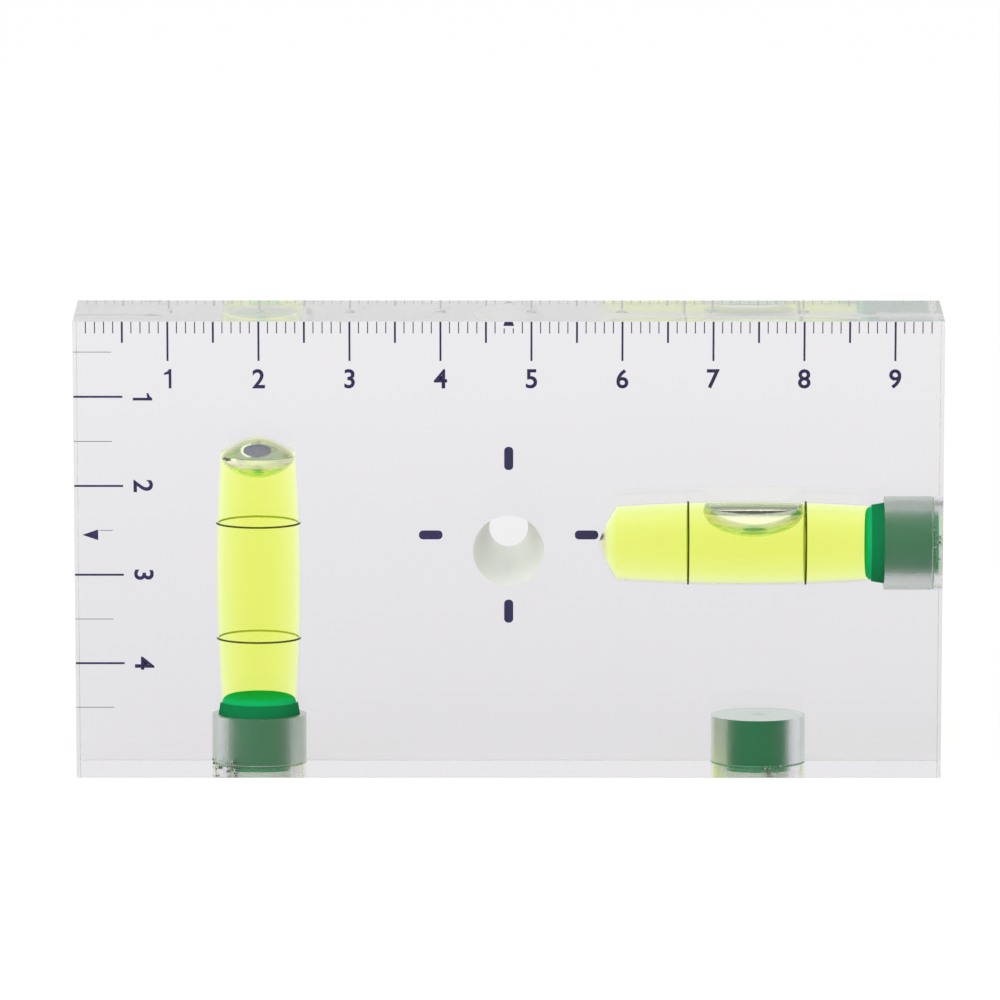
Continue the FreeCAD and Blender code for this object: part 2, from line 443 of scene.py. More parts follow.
magnet_bore_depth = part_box("magnet_cup")[1].z
dimple_radius = 0.85 * mm
dimple_depth = 0.13 * mm
magnet_steps = [
    *bore_mouth,
    ((bore_radius, magnet_bore_depth), MAGNET),
    ((dimple_radius, magnet_bore_depth), MAGNET),
    ((0, magnet_bore_depth + dimple_depth), FROSTED),
]
hole_front_radius = 3.9 * mm
hole_back_radius = 2.15 * mm
hole_flare = (hole_front_radius - hole_back_radius) / (back_face - front_face)
through_hole = Matrix.Translation((0, 0, level_axis_height)) @ Matrix.Rotation(
    math.radians(-90), 4, "X"
)


def hole_steps():
    """The tapered hole, run past both faces at its own taper."""
    ends = []
    for depth in (front_face - overshoot, back_face + overshoot):
        ends.append((hole_back_radius + (back_face - depth) * hole_flare, depth))
    return [(spot, HOLE) for spot in ((0, ends[0][1]), *ends, (0, ends[1][1]))]


edge_break = 0.045 * mm
square_on = 0.999


def mesh_of(name, shape):
    """The mesh of a shape that is done with."""
    mesh = bpy.data.meshes.new(name)
    shape.to_mesh(mesh)
    shape.free()
    return mesh


def block_body():
    """The outline with its edges broken, as a mesh with the block's slots."""
    body = bmesh.new()
    bmesh.ops.create_cube(body, size=1.0)
    size = block_high - block_low
    centre = (block_high + block_low) / 2
    stretched = Matrix.Translation(centre) @ Matrix.Diagonal((*size, 1))
    bmesh.ops.transform(body, verts=body.verts, matrix=stretched)
    bmesh.ops.bevel(
        body, geom=body.edges[:], offset=edge_break, segments=3, profile=0.5, affect="EDGES"
    )
    for face in body.faces:
        face.material_index = EDGE
        if face.normal.z > square_on:
            face.material_index = MILLED
        elif max(abs(part) for part in face.normal) > square_on:
            face.material_index = OUTSIDE
    mesh = mesh_of("acrylic_block", body)
    for material in block_slots:
        mesh.materials.append(material)
    return placed("acrylic_block", mesh)


def cut(piece, tools):
    """Cuts the tools out of a piece exactly, keeps each tool's slots, and removes the tools."""
    for tool in tools:
        modifier = piece.modifiers.new("cut", "BOOLEAN")
        modifier.operation = "DIFFERENCE"
        modifier.solver = "EXACT"
        modifier.object = tool
    evaluated = piece.evaluated_get(bpy.context.evaluated_depsgraph_get())
    mesh = bpy.data.meshes.new_from_object(evaluated)
    mesh.name = piece.name
    piece.modifiers.clear()
    piece.data = mesh
    for tool in tools:
        bpy.data.objects.remove(tool)


acrylic = block_body()
cutters = []
for steps, place in (
    (cavity_steps(), in_level_bore),
    (cavity_steps(), in_plumb_bore),
    (magnet_steps, in_magnet_bore),
    (hole_steps(), through_hole),
):
    spots = [spot for spot, _ in steps]
    zones = [zone for _, zone in steps[1:]]
    cutters.append(turned("cutter", spots, place, block_slots, zones))
cut(acrylic, cutters)
for face in acrylic.data.polygons:
    face.use_smooth = face.material_index not in (OUTSIDE, EDGE, MILLED)
acrylic.data.set_sharp_from_angle(angle=crease)
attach(acrylic, "root")
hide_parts("block")

# The liquid in the vials
# A clear spirit dyed fluorescent lime. Its fluorescence is painted light: a fixed glow laid on the
# back wall of each vial and on the level vial's drill point. The liquid fills the cavity from the
# stopper's nose to the drill point, but for the air that was left in when the stopper was pressed
# home.

film = 0.01 * mm
nose_end = half_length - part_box("level_stopper")[0].x
nose_radius = 3.42 * mm
nose_steps = 10
rim_glow = 0.12 * mm
glow_overlap = 0.05 * mm
tip_glow_start = 0.9 * mm
tip_glow_end = 0.4 * mm
glow_fade = 1.5 * mm


def fades(value, start, end, low=0.0, high=1.0):
    """Goes softly from low to high as a value goes from start to end."""
    return add_node(
        value.tree,
        "ShaderNodeMapRange",
        {"Value": value, "From Min": start, "From Max": end, "To Min": low, "To Max": high},
        {"interpolation_type": "SMOOTHSTEP"},
    )


dyed_liquid_with_painted_glow, liquid_tree = new_material("lime liquid")
liquid_x = object_place(liquid_tree).parts()
liquid_y = liquid_x.out("Y")
liquid_z = liquid_x.out("Z")
in_level = liquid_x > 0
in_plumb = 1 - in_level
liquid_depth = in_level * (half_length - liquid_x) + in_plumb * liquid_z
across = in_level * (liquid_z - level_axis_height) + in_plumb * (liquid_x - plumb_axis_x)
reach = across.math("SQRT", across * across + liquid_y * liquid_y)
off_crown = liquid_depth - crown_depth
wall = crown_radius - off_crown * off_crown / (2 * bow_radius)
on_wall = (reach > wall - rim_glow) * (liquid_depth < shoulder_depth + glow_overlap)
on_tip = (
    in_level
    * (liquid_depth > shoulder_depth - glow_overlap)
    * fades(liquid_depth, point_depth - tip_glow_start, point_depth - tip_glow_end, 1.0, 0.0)
)
# Painted light: the dye's glow is emission laid on the back half of the walls and of the drill
# point.
painted_glow = fades(liquid_y, -glow_fade, glow_fade) * on_wall.most(on_tip)
lets_light_by(
    add_node(
        liquid_tree,
        "ShaderNodeBsdfPrincipled",
        {
            "Base Color": tinted(speckle(liquid_tree, 60), (0.985, 1, 0.90), (1, 1, 0.93)),
            "Roughness": 0.0,
            "IOR": 1.0,
            "Transmission Weight": 1.0,
            "Emission Color": tinted(painted_glow, (0.0, 0.0, 0.0), (0.62, 1.0, 0.03)),
            "Emission Strength": 0.26,
        },
    ),
    (0.99, 1, 0.9),
    Volume=add_node(
        liquid_tree,
        "ShaderNodeVolumeAbsorption",
        {"Color": (0.91, 0.92, 0.16, 1), "Density": 190.0},
    ),
)


def nose_points(gap=0.0):
    """The shoulder of a stopper's nose, from the seat's end to its flat face."""
    wide = barrel_radius(barrel_start) - 2 * film
    spots = []
    for step in range(nose_steps + 1):
        angle = math.radians(90 * step / nose_steps)
        spots.append((
            nose_radius + (wide - nose_radius) * math.cos(angle),
            barrel_start + gap + (nose_end - barrel_start) * math.sin(angle),
        ))
    return spots


def liquid_profile():
    """The whole inside of a vial, a film's thickness clear of its walls."""
    return [
        (0, nose_end + film),
        *reversed(nose_points(film)),
        *barrel_points(barrel_start + 3 * film, shoulder_depth, film),
        *tip_points(film),
    ]


bubble_length = 11.1 * mm
bubble_height = 4.0 * mm
bubble_width = 8.4 * mm
bubble_off_crown = -0.75 * mm
bubble_shoulder = 1.0 * mm
bubble_softness = 0.18 * mm
wall_film = 0.03 * mm
bubble_turns = 96


def level_bubble_point(around, along, swell):
    """A point of the bubble under the crown, in its bore's frame: an egg flattened by the wall."""
    upright = bubble_height - bubble_shoulder
    x = crown_radius - bubble_shoulder + math.cos(along) * (upright + swell)
    ring = math.sin(along)
    y = ring * math.sin(around) * (bubble_width / 2 + swell)
    z = ring * math.cos(around) * (bubble_length / 2 + swell)
    depth = crown_depth + bubble_off_crown + z
    limit = barrel_radius(depth) - wall_film + swell
    reach = math.hypot(x, y)
    blend = max(0.0, min(1.0, 0.5 + (reach - limit) / (2 * bubble_softness)))
    held = reach + (limit - reach) * blend - bubble_softness * blend * (1 - blend)
    scale = held / reach if reach else 1.0
    return Vector((x * scale, y * scale, depth))


air_below_shoulder = 0.4 * mm
air_rim_depth = shoulder_depth - air_below_shoulder
air_height = 1.95 * mm
air_rim_round = 0.25
meniscus_rise = 2.4 * mm
meniscus_curve = 0.62


def plumb_bubble_point(around, along, swell):
    """A point of the air above the plumb vial's liquid: a low dome on a hollow floor."""
    share = math.sin(along)
    radius = share * (barrel_radius(air_rim_depth) - wall_film + swell)
    if math.cos(along) < 0:
        depth = air_rim_depth - meniscus_rise * (1 - share**2) ** meniscus_curve - swell
    else:
        dome = air_rim_depth + air_height * (1 - share**2)
        depth = min(dome, tip_depth(share) - 2 * wall_film) + swell
    blend = min(1.0, abs(math.cos(along)) / air_rim_round)
    depth = air_rim_depth + (depth - air_rim_depth) * blend
    return Vector((radius * math.cos(around), radius * math.sin(around), depth))


def bubble_surface(point, swell):
    """A closed surface of a bubble, from its pole at the crown side to its pole below."""
    shape = bmesh.new()
    rings = []
    for step in range(1, bubble_turns):
        along = math.pi * (1 - step / bubble_turns)
        ring = []
        for turn in range(2 * bubble_turns):
            ring.append(shape.verts.new(point(math.pi * turn / bubble_turns, along, swell)))
        rings.append(ring)
    poles = [shape.verts.new(point(0, math.pi, swell)), shape.verts.new(point(0, 0, swell))]
    for near, far in zip(rings, rings[1:]):
        for i in range(len(near)):
            shape.faces.new((near[i - 1], near[i], far[i], far[i - 1]))
    for pole, ring in zip(poles, (rings[0], rings[-1])):
        for i in range(len(ring)):
            shape.faces.new((ring[i - 1], ring[i], pole))
    bmesh.ops.recalc_face_normals(shape, faces=shape.faces)
    return shape


# Painted reflections: what a bubble mirrors at each place is painted as the tint of its film there.
film_slots = [
    clear_wall("film against liquid", 1.0, (1, 1, 0.99), 0.0, 300),
    clear_wall("film against air", liquid_ior, (0.99, 1, 0.97), 0.2, 900),
]
for look, tint, clear in (
    ("in shade", (0.34, 0.42, 0.37), 0.5),
    ("in deep shade", (0.03, 0.03, 0.04), 0.1),
    ("in dusk", (0.115, 0.125, 0.28), 0.2),
    ("in the light", (0.97, 0.98, 0.97), 0.2),
    ("painted pale", (0.85, 0.85, 0.83), 0.33),
    ("painted green reflection", (0.50, 0.92, 0.52), 0.55),
):
    film_slots.append(clear_wall("film " + look, liquid_ior, tint, 0.1, 900, clear=clear))
CLEAR, SHADED, DARK, DUSK, BRIGHT, PALE, MINT = range(1, len(film_slots))

film_thickness = 0.008 * mm
hollow_swell = 0.012 * mm
back_start = 0.3 * mm


def skin_of(name, point, shade, place):
    """The liquid's own surface round a bubble, as a thin closed film: slot 0 against the liquid
    and the other slots against the air, whose tints on its front are painted reflections."""
    both = bmesh.new()
    for swell in (film_thickness, 0.0):
        layer = bubble_surface(point, swell)
        if not swell:
            bmesh.ops.reverse_faces(layer, faces=layer.faces)
            for face in layer.faces:
                spot = face.calc_center_median()
                face.material_index = CLEAR if spot.y > back_start else shade(spot)
        both.from_mesh(mesh_of(name, layer))
    mesh = mesh_of(name, both)
    for material in film_slots:
        mesh.materials.append(material)
    mesh.transform(place)
    mesh.shade_smooth()
    return placed(name, mesh)


# Painted reflections on the level bubble's front: where its bands and its dark and bright lines
# lie.
mint_top = 2.35 * mm
pale_top = 3.5 * mm
line_top = 3.95 * mm
line_half_length = 4.1 * mm
line_thickness = 0.3 * mm
line_shine = 0.1 * mm


def level_shade(spot):
    """The level bubble's front in painted reflections: bands by height, and a dark line that thins
    towards its ends, with a bright one over it.
    """
    if spot.x < mint_top:
        return MINT
    if spot.x < pale_top:
        return PALE
    along = (spot.z - crown_depth - bubble_off_crown) / line_half_length
    over_line = spot.x - line_top
    if -line_thickness * (1 - along * along) < over_line < 0:
        return DARK
    return BRIGHT if 0 <= over_line < line_shine * (1 - along * along) else SHADED


# Painted reflections on the plumb dome, as ovals: a dark spot, a glint, and a dusky patch with a
# bright halo.
painted_dark_spot = (-3.4 * mm, -0.03, 0.5 * mm, 0.08)
painted_glint = (-2.6 * mm, 0.0, 0.33 * mm, 0.07)
painted_dusk_patch = (0.0, 0.5, 1.55 * mm, 0.3)
dome_foot = 0.02
pale_depth = 1.0 * mm
patch_halo = 1.45
halo_end = -0.7 * mm


def plumb_shade(spot):
    """The front of the plumb vial's air in painted reflections: its dome, with a dusky patch, a
    dark spot and a glint, above a pale band.
    """
    up = (spot.z - air_rim_depth) / air_height

    def out_of(x, height, half_width, half_height):
        """How far out of an oval the spot lies: 1 is its rim."""
        return ((spot.x - x) / half_width) ** 2 + ((up - height) / half_height) ** 2

    if out_of(*painted_dark_spot) < 1:
        return DARK
    if out_of(*painted_glint) < 1:
        return BRIGHT
    if up < dome_foot:
        return PALE if up > -pale_depth / air_height else MINT
    if out_of(*painted_dusk_patch) < 1:
        return DUSK
    return BRIGHT if out_of(*painted_dusk_patch) < patch_halo and spot.x < halo_end else SHADED


for vial, point, shade in (
    ("level", level_bubble_point, level_shade),
    ("plumb", plumb_bubble_point, plumb_shade),
):
    filling = turned(vial + "_vial_liquid", liquid_profile(), vials[vial], [dyed_liquid_with_painted_glow])
    hollow = placed("hollow", mesh_of("hollow", bubble_surface(point, hollow_swell)))
    hollow.data.transform(vials[vial])
    cut(filling, [hollow])
    filling.data.shade_smooth()
    filling.data.set_sharp_from_angle(angle=crease)
    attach(filling, "root")
    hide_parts(vial + "_liquid")
    skin = skin_of(vial + "_vial_bubble", point, shade, vials[vial])
    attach(skin, "root")

# The marking rings
# Hoops of black lacquer on the barrel's wall, the bubble's length and a little apart. Their inner
# side is painted olive, a lit copy of the lacquer that stands in for the dye's glow around it.


def opaque(name, grain, low, high, rough, values, spread=0.2, cloud=None, bump=None):
    """An opaque surface between two colours: a cloud or its grain in its colour, the grain in its
    roughness, and a bump of a scale and a depth."""
    material, tree = new_material(name)
    noise = speckle(tree, grain)
    values["Base Color"] = tinted(speckle(tree, cloud) if cloud else noise, low, high)
    values["Roughness"] = noise * spread + rough
    if bump:
        values["Normal"] = bumped(speckle(tree, bump[0]), bump[1])
    surface = add_node(tree, "ShaderNodeBsdfPrincipled", values)
    add_node(tree, "ShaderNodeOutputMaterial", {"Surface": surface})
    return material


# Painted light: the second copy is the black lacquer painted olive, as if lit by the dye's glow.
ring_slots = [
    opaque(name, 5000, low, high, 0.5, {"Specular IOR Level": 0.15})
    for name, low, high in (
        ("ring lacquer", (0.05, 0.06, 0.0), (0.065, 0.08, 0.0)),
        ("ring lacquer painted lit by the dye", (0.42, 0.52, 0.04), (0.48, 0.60, 0.05)),
    )
]
ring_thickness = 0.06 * mm
ring_sides = 160

for node in ("level_ring_outer", "level_ring_inner", "plumb_ring_lower", "plumb_ring_upper"):
    ring_low, ring_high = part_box(node)
    vial = node.split("_")[0]
    if vial == "level":
        ring_depth = half_length - (ring_low.x + ring_high.x) / 2
    else:
        ring_depth = (ring_low.z + ring_high.z) / 2
    ring_start = ring_depth - ring_width / 2
    ring_end = ring_depth + ring_width / 2
    ring_outer = barrel_radius(ring_depth) - film / 2
    ring = turned(
        node + "_lacquer",
        [
            (ring_outer, ring_start),
            (ring_outer, ring_end),
            (ring_outer - ring_thickness, ring_end),
            (ring_outer - ring_thickness, ring_start),
            (ring_outer, ring_start),
        ],
        vials[vial],
        ring_slots,
        # the inner faces take the lacquer painted olive
        [0, 1, 1, 1],
        ring_sides,
    )
    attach(ring, "root")
    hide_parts(node)

# The stoppers
# Moulded in green polyethylene. The nose wets the seat, so its green shows fully; the head has a
# hair of air round it and is seen through the frosted counterbore. The green comes in three copies:
# the seat's is painted darker, a painted shade, and the nose's in the liquid is painted lighter, a
# painted light.

# Painted shade and light: the dry green, and copies of it painted darker and lighter.
stopper_slots = [
    opaque(name, 2600, low, high, 0.36, {"IOR": ior}, cloud=500, bump=(2600, 4e-6))
    for name, ior, low, high in (
        ("green plastic", 1.45, (0.0, 0.24, 0.075), (0.002, 0.30, 0.095)),
        ("green plastic wetted, painted darker", 1.0, (0.0, 0.168, 0.05), (0.0, 0.205, 0.06)),
        ("green plastic in liquid, painted lighter", 1.0, (0.0, 0.36, 0.13), (0.0, 0.42, 0.16)),
    )
]
head_clearance = 0.1 * mm
head_radius = bore_radius - head_clearance
head_chamfer = 0.08 * mm
floor_gap = 0.03 * mm
vial_seal_cover = 0.33 * mm

stopper_profile = [
    (0, vial_seal_cover),
    (head_radius - head_chamfer, vial_seal_cover),
    (head_radius, vial_seal_cover + head_chamfer),
    (head_radius, counterbore_depth - floor_gap),
    (seat_mouth_radius - film, counterbore_depth - floor_gap),
    *nose_points(),
    (0, nose_end),
]
# The seat's step takes the copy painted darker, the nose's steps the copy painted lighter.
nose_slots = [int(step > 3) + int(step > 4) for step in range(len(stopper_profile) - 1)]

for vial, place in vials.items():
    plug = turned(vial + "_stopper_plug", stopper_profile, place, stopper_slots, nose_slots)
    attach(plug, "root")
    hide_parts(vial + "_stopper")

# The resin seals
# Clear resin poured round and over the end of each stopper and of the magnet's cup, then milled
# flush with the block. It holds a few bubbles.

resin_ior = 1.5
seal_slots = [
    clear_wall("resin face", resin_ior, (0.90, 0.92, 0.83), 0.2, 6000, 2e-6, 0.06, 0.3),
    clear_wall("resin contact", 1.0, (0.98, 0.99, 0.98), 0.0, 300),
]
magnet_seal_cover = 0.3 * mm
cup_clearance = 0.05 * mm
cup_radius = bore_radius - cup_clearance

for node, place, cover, covered_radius in (
    ("level_seal", in_level_bore, vial_seal_cover, head_radius),
    ("plumb_seal", in_plumb_bore, vial_seal_cover, head_radius),
    ("magnet_seal", in_magnet_bore, magnet_seal_cover, cup_radius),
):
    resin = turned(
        node + "_resin",
        [
            (0, 0),
            (bore_radius - film, 0),
            (bore_radius - film, cover + head_chamfer - film),
            (covered_radius + film, cover + head_chamfer - film),
            (covered_radius - head_chamfer + film, cover - film),
            (0, cover - film),
        ],
        place,
        seal_slots,
        [0, 0, 1, 1, 1],
    )
    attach(resin, "root")
    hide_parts(node)

resin_bubbles, resin_in = geometry_tree(
    "resin bubbles",
    Int=["Count", "Seed"],
    Float=["Radius", "Turn", "Spread", "Shallow", "Deep", "Smallest", "Largest"],
)


def points_at(count, spot):
    """A count of points, each at its own spot."""
    row = add_node(count.tree, "GeometryNodeMeshLine", {"Count": count, "Offset": (0, 0, 0)})
    return moved(row, Position=spot)


def build_resin_bubbles():
    """Small round bubbles at seeded places on a patch of the bore's wall."""

    def chance(low, high, shift):
        return add_node(
            resin_bubbles,
            "FunctionNodeRandomValue",
            {"Min": low, "Max": high, "Seed": resin_in["Seed"] + shift},
            {"data_type": "FLOAT"},
        )

    turn = resin_in["Turn"] + chance(-1.0, 1.0, 0) * resin_in["Spread"]
    spot = xyz(
        resin_bubbles,
        X=turn.cosine() * resin_in["Radius"],
        Y=turn.sine() * resin_in["Radius"],
        Z=chance(resin_in["Shallow"], resin_in["Deep"], 1),
    )
    share = chance(0.0, 1.0, 2)
    smallest = resin_in["Smallest"]
    size = smallest + share * share * (resin_in["Largest"] - smallest)
    ball = add_node(
        resin_bubbles, "GeometryNodeMeshIcoSphere", {"Radius": 1.0, "Subdivisions": 2}
    )
    bubbles = add_node(
        resin_bubbles,
        "GeometryNodeInstanceOnPoints",
        {
            "Points": points_at(resin_in["Count"], spot),
            "Instance": ball,
            "Scale": xyz(resin_bubbles, X=size, Y=size, Z=size),
        },
    )
    finish_tree(bubbles, resin_in["Material"])


build_resin_bubbles()
# Painted shade: the air bubbles' walls are tinted dark, as the shade round each bubble.
painted_dark_bubble_wall = clear_wall("resin bubble wall in painted shade", resin_ior, (0.16, 0.20, 0.15), 0.05, 900)
for seal_name, place, count, seed, turn, spread, shallow, deep in (
    ("plumb_seal", in_plumb_bore, 46, 3, -140, 26, 0.15 * mm, 1.7 * mm),
    ("level_seal", in_level_bore, 16, 5, -88, 40, 0.2 * mm, 1.1 * mm),
    ("magnet_seal", in_magnet_bore, 12, 8, -76, 12, 0.2 * mm, 1.1 * mm),
):
    specks = grown(
        seal_name + "_bubbles",
        resin_bubbles,
        {
            "Count": count,
            "Seed": seed,
            "Radius": bore_radius + 0.18 * mm,
            "Turn": math.radians(turn),
            "Spread": math.radians(spread),
            "Shallow": shallow,
            "Deep": deep,
            "Smallest": 0.05 * mm,
            "Largest": 0.21 * mm,
            "Material": painted_dark_bubble_wall,
        },
    )
    specks.data.transform(place)
    specks.data.flip_normals()
    specks.data.shade_smooth()
    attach(specks, "root")

# The magnet and its cup
# A nickel-plated disc magnet set in the open end of a green cup, under the seal in the bottom face.

magnet_radius = 4.0 * mm
magnet_thickness = 3.0 * mm
pocket_floor = magnet_seal_cover + magnet_thickness
cup = turned(
    "magnet_green_cup",
    [
        (0, magnet_bore_depth - floor_gap),
        (cup_radius, magnet_bore_depth - floor_gap),
        (cup_radius, magnet_seal_cover + head_chamfer),
        (cup_radius - head_chamfer, magnet_seal_cover),
        (magnet_radius, magnet_seal_cover),
        (magnet_radius, pocket_floor),
        (0, pocket_floor),
    ],
    in_magnet_bore,
    stopper_slots[:1],
)
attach(cup, "root")
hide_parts("magnet_cup")

nickel = opaque(
    "nickel plate",
    1500,
    (0.55, 0.53, 0.49),
    (0.72, 0.70, 0.66),
    0.16,
    {"Metallic": 1.0},
    spread=0.15,
    bump=(6000, 1.5e-6),
)
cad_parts["magnet"].data.materials.clear()
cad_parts["magnet"].data.materials.append(nickel)

# The printed rulers
# Dark navy ink screened on the back face, so it reads through the block. It wets the acrylic: each
# mark starts a hair inside the face.

ink_sink = 0.02 * mm
ink_start = back_face - ink_sink
ink_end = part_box("length_scale_ticks")[1].y
ink_depth = ink_end - ink_start
navy_ink = opaque(
    "navy ink", 3500, (0.012, 0.009, 0.075), (0.018, 0.013, 0.095), 0.35, values={}
)

ruler, ruler_in = geometry_tree(
    "ruler ticks",
    Int=["Count", "Half Every", "Whole Every"],
    Vector=["Start", "Step", "Inward"],
    Float=[
        "Fine Length", "Half Length", "Whole Length", "Fine Line", "Bold Line",
        "Edge Gap", "Arrow Place", "Arrow Reach", "Arrow Gap", "Depth",
    ],
)


def build_ruler():
    """A bar for each tick, longer and bolder on the half and whole marks, short of the arrow."""
    row = add_node(
        ruler,
        "GeometryNodeMeshLine",
        {
            "Count": ruler_in["Count"],
            "Start Location": ruler_in["Start"],
            "Offset": ruler_in["Step"],
        },
    )
    number = add_node(ruler, "GeometryNodeInputIndex") + 1
    half = (number % ruler_in["Half Every"]) < 0.5
    whole = (number % ruler_in["Whole Every"]) < 0.5
    length = (
        ruler_in["Fine Length"]
        + (ruler_in["Half Length"] - ruler_in["Fine Length"]) * half
        + (ruler_in["Whole Length"] - ruler_in["Half Length"]) * whole
    )
    width = ruler_in["Fine Line"] + (ruler_in["Bold Line"] - ruler_in["Fine Line"]) * half
    by_arrow = abs(number - ruler_in["Arrow Place"]) < ruler_in["Arrow Reach"]
    start = ruler_in["Edge Gap"] + (ruler_in["Arrow Gap"] - ruler_in["Edge Gap"]) * by_arrow
    inward = ruler_in["Inward"].parts()
    along_x = abs(inward)
    along_z = abs(inward.out("Z"))
    bar = length - start
    size = xyz(
        ruler,
        X=bar * along_x + width * (1 - along_x),
        Y=ruler_in["Depth"],
        Z=bar * along_z + width * (1 - along_z),
    )
    shift = add_node(
        ruler,
        "ShaderNodeVectorMath",
        {"Vector": ruler_in["Inward"], "Scale": (length + start) / 2},
        {"operation": "SCALE"},
    )
    bars = add_node(
        ruler,
        "GeometryNodeInstanceOnPoints",
        {
            "Points": moved(row, Offset=shift),
            "Instance": add_node(ruler, "GeometryNodeMeshCube", {"Size": (1, 1, 1)}),
            "Scale": size,
        },
    )
    finish_tree(bars, ruler_in["Material"])


build_ruler()

centimetre = 10 * mm
ink_middle = (ink_start + ink_end) / 2
left_edge = -half_length
print_lines = {
    "Fine Line": 0.11 * mm,
    "Bold Line": 0.22 * mm,
    "Edge Gap": 0.0,
    "Arrow Gap": 2.35 * mm,
    "Depth": ink_depth,
    "Material": navy_ink,
}


def printed(piece, slot_node=None):
    """Ink of the back face: rides with the block and stands for its plain solid."""
    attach(piece, "root")
    if slot_node:
        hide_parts(slot_node)


length_ruler = grown(
    "length_ruler",
    ruler,
    {
        "Count": 94,
        "Start": (left_edge + mm, ink_middle, top_face),
        "Step": (mm, 0, 0),
        "Inward": (0, 0, -1),
        "Half Every": 5,
        "Whole Every": 10,
        "Fine Length": 2.91 * mm,
        "Half Length": 3.96 * mm,
        "Whole Length": 5.98 * mm,
        "Arrow Place": half_length / mm,
        "Arrow Reach": 0.85,
        **print_lines,
    },
)
printed(length_ruler, "length_scale_ticks")
height_ruler = grown(
    "height_ruler",
    ruler,
    {
        "Count": 9,
        "Start": (left_edge, ink_middle, top_face - centimetre / 2),
        "Step": (0, 0, -centimetre / 2),
        "Inward": (1, 0, 0),
        "Half Every": 2,
        "Whole Every": 2,
        "Fine Length": 3.8 * mm,
        "Half Length": 3.8 * mm,
        "Whole Length": 5.0 * mm,
        "Arrow Place": (top_face - level_axis_height) / (centimetre / 2),
        "Arrow Reach": 0.13,
        **print_lines,
        "Fine Line": 0.055 * mm,
    },
)
printed(height_ruler, "height_scale_ticks")


def inked(name, flat):
    """Gives flat faces on the back face the thickness and the colour of the ink."""
    risen = bmesh.ops.extrude_face_region(flat, geom=flat.faces[:])["geom"]
    corners = [part for part in risen if isinstance(part, bmesh.types.BMVert)]
    bmesh.ops.translate(flat, verts=corners, vec=(0, ink_depth, 0))
    bmesh.ops.recalc_face_normals(flat, faces=flat.faces)
    mesh = mesh_of(name, flat)
    mesh.materials.append(navy_ink)
    return placed(name, mesh)


arrow_gap = 0.45 * mm
arrow_length = 1.75 * mm
arrow_half_width = 0.6 * mm
top_arrow_gap = 0.32 * mm
arrow_shapes = bmesh.new()
for (tip_x, tip_z), (back_x, back_z) in (
    ((0, top_face - top_arrow_gap), (0, -1)),
    ((left_edge + arrow_gap, level_axis_height), (1, 0)),
):
    heel_x = tip_x + back_x * arrow_length
    heel_z = tip_z + back_z * arrow_length
    side_x = back_z * arrow_half_width
    side_z = back_x * arrow_half_width
    heels = (heel_x + side_x, heel_z + side_z), (heel_x - side_x, heel_z - side_z)
    outline = [(x, ink_start, z) for x, z in ((tip_x, tip_z), *heels)]
    arrow_shapes.faces.new([arrow_shapes.verts.new(corner) for corner in outline])
printed(inked("edge_pointers", arrow_shapes), "edge_arrows")

dashes, dashes_in = geometry_tree(
    "dashes round the hole",
    Int=["Count"],
    Vector=["Centre"],
    Float=["From Centre", "Length", "Width", "Round", "Depth"],
)


def build_dashes():
    """A round-ended bar of ink, repeated about the hole with its length towards the centre."""
    outline = add_node(
        dashes,
        "GeometryNodeCurvePrimitiveQuadrilateral",
        {"Width": dashes_in["Length"], "Height": dashes_in["Width"]},
    )
    rounded = add_node(
        dashes,
        "GeometryNodeFilletCurve",
        {"Curve": outline, "Radius": dashes_in["Round"], "Count": 8},
        {"mode": "POLY"},
    )
    flat = add_node(dashes, "GeometryNodeFillCurve", {"Curve": rounded})
    thick = add_node(
        dashes,
        "GeometryNodeExtrudeMesh",
        {"Mesh": flat, "Offset Scale": dashes_in["Depth"], "Individual": False},
    )
    both = dashes.nodes.new("GeometryNodeJoinGeometry")
    for part in (add_node(dashes, "GeometryNodeFlipFaces", {"Mesh": flat}), thick):
        dashes.links.new(part.socket, both.inputs[0])
    count = dashes_in["Count"]
    turn = add_node(dashes, "GeometryNodeInputIndex") * math.tau / count
    from_centre = dashes_in["From Centre"]
    spot = add_node(
        dashes,
        "ShaderNodeVectorMath",
        {
            0: xyz(dashes, X=turn.cosine() * from_centre, Z=turn.sine() * from_centre),
            1: dashes_in["Centre"],
        },
        {"operation": "ADD"},
    )
    bars = add_node(
        dashes,
        "GeometryNodeInstanceOnPoints",
        {
            "Points": points_at(count, spot),
            "Instance": welded(Socket(dashes, both.outputs[0])),
            "Rotation": xyz(dashes, X=-math.pi / 2, Y=0 - turn),
        },
    )
    finish_tree(bars, dashes_in["Material"])


build_dashes()
hole_dashes = grown(
    "hole_dashes",
    dashes,
    {
        "Count": 4,
        "From Centre": 8.6 * mm,
        "Centre": (0, ink_start, level_axis_height),
        "Length": 2.6 * mm,
        "Width": 1.0 * mm,
        "Round": 0.45 * mm,
        "Depth": ink_depth,
        "Material": navy_ink,
    },
)
printed(hole_dashes, "centre_dashes")

digit_height = 2.15 * mm
digit_weight = 0.036
length_digit_top = 6.9 * mm
height_digit_left = 6.14 * mm
digit_one = [
    (0.5, 0), (0.64, 0), (0.64, 1), (0.53, 1), (0.42, 0.87), (0.26, 0.8), (0.26, 0.7), (0.5, 0.74)
]


